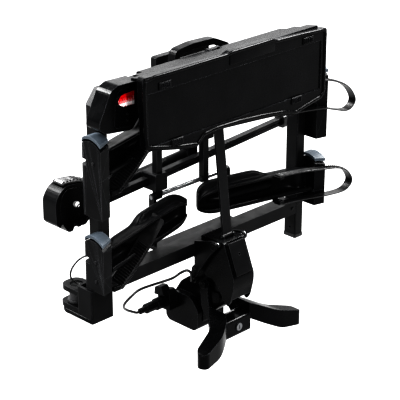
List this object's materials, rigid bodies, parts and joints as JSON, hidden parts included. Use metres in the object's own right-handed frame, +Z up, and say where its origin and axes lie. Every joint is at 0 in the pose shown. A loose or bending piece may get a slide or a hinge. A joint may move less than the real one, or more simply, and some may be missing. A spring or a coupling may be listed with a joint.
{
  "type": "folding_towball_platform_rack",
  "caption": "Folding tow-ball platform bike rack in its folded carrying pose: coupling and lever, hinged frame, wheel trays with straps, mast with claws, lamps and plate holder",
  "frame": {"origin": "centre of the tow ball that the coupling sits on", "axes": "+X across the rack toward its right as seen from behind the car, +Y forward toward the car, +Z up"},
  "size_m": [0.7695, 0.2945, 0.672],
  "materials": {
    "black_plastic": "fine grained moulding texture",
    "gloss_plastic": "smooth moulded black",
    "black_coat": "satin powder coat over steel or aluminium",
    "buckle_grey": "blue-grey moulded plastic",
    "soft_rubber": "matte black rubber",
    "plated_steel": "bright zinc plate",
    "red_lens": "clear red lens",
    "roller_grey": "light grey nylon"
  },
  "bodies": {
    "coupling": {"coupling_body": "gloss_plastic", "housing": "gloss_plastic", "lever_pin": "plated_steel", "fold_pin": "plated_steel", "stay_pin_low": "plated_steel", "plug_holder": "black_plastic", "plug": "black_plastic", "plug_cable": "soft_rubber", "cable_gland": "soft_rubber"},
    "clamp_shoe": {"ball_clamp_shoe": "plated_steel"},
    "pedal": {"release_pedal": "black_coat"},
    "lever": {"lever_fork": "gloss_plastic", "lever_grip_right": "gloss_plastic", "lever_grip_left": "gloss_plastic"},
    "lock": {"lock_cylinder": "plated_steel"},
    "stay": {"stay_bar": "black_coat"},
    "platform": {"crossbeam": "black_coat", "hinge_cheek_right": "black_coat", "hinge_cheek_left": "black_coat", "post_right": "black_coat", "post_left": "black_coat", "top_rail": "black_coat", "foot_left": "black_plastic", "foot_right": "black_coat", "foot_cap": "soft_rubber", "carry_handle": "black_plastic", "mast_bracket": "black_coat", "mast_shaft": "plated_steel", "lamp_cable": "soft_rubber", "light_pin_right": "plated_steel", "light_pin_left": "plated_steel"},
    "roller": {"transport_roller": "roller_grey"},
    "light_unit": {"plate_holder": "gloss_plastic", "stay_pin_top": "plated_steel", "light_bar": "black_plastic", "lamp_housing_left": "gloss_plastic", "lamp_housing_right": "gloss_plastic", "lamp_lens_left": "red_lens", "lamp_lens_right": "red_lens"},
    "mast": {"mast_frame": "black_coat"},
    "arm_a": {"arm_a_bar": "black_coat", "arm_a_clamp": "black_plastic"},
    "claw_a": {"claw_a": "black_plastic", "claw_a_strap": "buckle_grey"},
    "knob_a": {"knob_a": "soft_rubber"},
    "arm_b": {"arm_b_tube": "black_coat", "arm_b_clamp": "black_plastic"},
    "claw_b": {"claw_b": "black_plastic"},
    "tray_lower_left": {"tray_lower_left": "black_plastic", "strap_lower_left": "soft_rubber"},
    "buckle_lower_left": {"buckle_lower_left": "buckle_grey"},
    "tray_lower_right": {"tray_lower_right": "black_plastic", "strap_lower_right": "soft_rubber"},
    "buckle_lower_right": {"buckle_lower_right": "buckle_grey"},
    "tray_upper_left": {"tray_upper_left": "black_plastic", "strap_upper_left": "soft_rubber"},
    "buckle_upper_left": {"buckle_upper_left": "buckle_grey"},
    "tray_upper_right": {"tray_upper_right": "black_plastic", "strap_upper_right": "soft_rubber"},
    "buckle_upper_right": {"buckle_upper_right": "buckle_grey"}
  },
  "joints": [
    {"name": "platform_fold", "type": "hinge", "parent": "coupling", "child": "platform", "pos_m": [0, -0.118, 0.211], "axis": [1, 0, 0], "range_deg": [0, 100]},
    {"name": "light_unit_turn", "type": "hinge", "parent": "platform", "child": "light_unit", "pos_m": [0, -0.0704, 0.622], "axis": [1, 0, 0], "range_deg": [-100, 0]},
    {"name": "stay_swing", "type": "hinge", "parent": "coupling", "child": "stay", "pos_m": [0, -0.113, 0.223], "axis": [1, 0, 0], "range_deg": [0, 100]},
    {"name": "pedal_press", "type": "hinge", "parent": "coupling", "child": "pedal", "pos_m": [0, -0.138, 0.216], "axis": [-1, 0, 0], "range_deg": [0, 8], "stiffness_Nm_per_rad": 3},
    {"name": "coupling_lever", "type": "hinge", "parent": "coupling", "child": "lever", "pos_m": [0, -0.078, 0.104], "axis": [-1, 0, 0], "range_deg": [0, 40]},
    {"name": "clamp_shoe_slide", "type": "slide", "parent": "coupling", "child": "clamp_shoe", "axis": [0, -1, 0], "range_m": [0, 0.006]},
    {"name": "lock_turn", "type": "hinge", "parent": "lever", "child": "lock", "pos_m": [0, -0.14, 0.012], "axis": [0, 1, 0], "range_deg": [0, 90]},
    {"name": "roller_spin", "type": "hinge", "parent": "platform", "child": "roller", "pos_m": [-0.323, 0.016, 0.148], "axis": [0, 0, 1], "continuous": true},
    {"name": "mast_fold", "type": "hinge", "parent": "platform", "child": "mast", "pos_m": [0, 0.03, 0.296], "axis": [1, 0, 0], "range_deg": [-90, 0]},
    {"name": "arm_a_height", "type": "slide", "parent": "mast", "child": "arm_a", "axis": [0, 0, 1], "range_m": [0, 0.038]},
    {"name": "claw_a_turn", "type": "hinge", "parent": "arm_a", "child": "claw_a", "pos_m": [0, 0.049, 0.335], "axis": [0.9979, 0, 0.0642], "range_deg": [-20, 30]},
    {"name": "knob_a_turn", "type": "hinge", "parent": "arm_a", "child": "knob_a", "pos_m": [0, 0.049, 0.335], "axis": [0.9979, 0, 0.0642], "continuous": true},
    {"name": "arm_b_height", "type": "slide", "parent": "mast", "child": "arm_b", "axis": [0, 0, 1], "range_m": [0, 0.02]},
    {"name": "claw_b_turn", "type": "hinge", "parent": "arm_b", "child": "claw_b", "pos_m": [0, 0.08, 0.34], "axis": [0.9979, 0, 0.0642], "range_deg": [-18, 18]},
    {"name": "tray_lower_left_swing", "type": "hinge", "parent": "platform", "child": "tray_lower_left", "pos_m": [-0.331, -0.046, 0.257], "axis": [0, 0, -1], "range_deg": [0, 165]},
    {"name": "buckle_lower_left_press", "type": "hinge", "parent": "tray_lower_left", "child": "buckle_lower_left", "pos_m": [-0.331, -0.035, 0.303], "axis": [1, 0, 0], "range_deg": [0, 3], "stiffness_Nm_per_rad": 1.5},
    {"name": "tray_lower_right_swing", "type": "hinge", "parent": "platform", "child": "tray_lower_right", "pos_m": [0.331, -0.046, 0.257], "axis": [0, 0, 1], "range_deg": [0, 165]},
    {"name": "buckle_lower_right_press", "type": "hinge", "parent": "tray_lower_right", "child": "buckle_lower_right", "pos_m": [0.331, -0.035, 0.303], "axis": [1, 0, 0], "range_deg": [0, 3], "stiffness_Nm_per_rad": 1.5},
    {"name": "tray_upper_left_swing", "type": "hinge", "parent": "platform", "child": "tray_upper_left", "pos_m": [-0.331, -0.046, 0.473], "axis": [0, 0, -1], "range_deg": [0, 18]},
    {"name": "buckle_upper_left_press", "type": "hinge", "parent": "tray_upper_left", "child": "buckle_upper_left", "pos_m": [-0.331, -0.035, 0.519], "axis": [1, 0, 0], "range_deg": [0, 3], "stiffness_Nm_per_rad": 1.5},
    {"name": "tray_upper_right_swing", "type": "hinge", "parent": "platform", "child": "tray_upper_right", "pos_m": [0.331, -0.046, 0.473], "axis": [0, 0, 1], "range_deg": [0, 18]},
    {"name": "buckle_upper_right_press", "type": "hinge", "parent": "tray_upper_right", "child": "buckle_upper_right", "pos_m": [0.331, -0.035, 0.519], "axis": [1, 0, 0], "range_deg": [0, 3], "stiffness_Nm_per_rad": 1.5}
  ],
  "couplings": [
    {"joint": "light_unit_turn", "follows": "platform_fold", "ratio": -1},
    {"joint": "stay_swing", "follows": "platform_fold", "ratio": 1},
    {"joint": "clamp_shoe_slide", "follows": "coupling_lever", "m_per_rad": 0.0085}
  ]
}
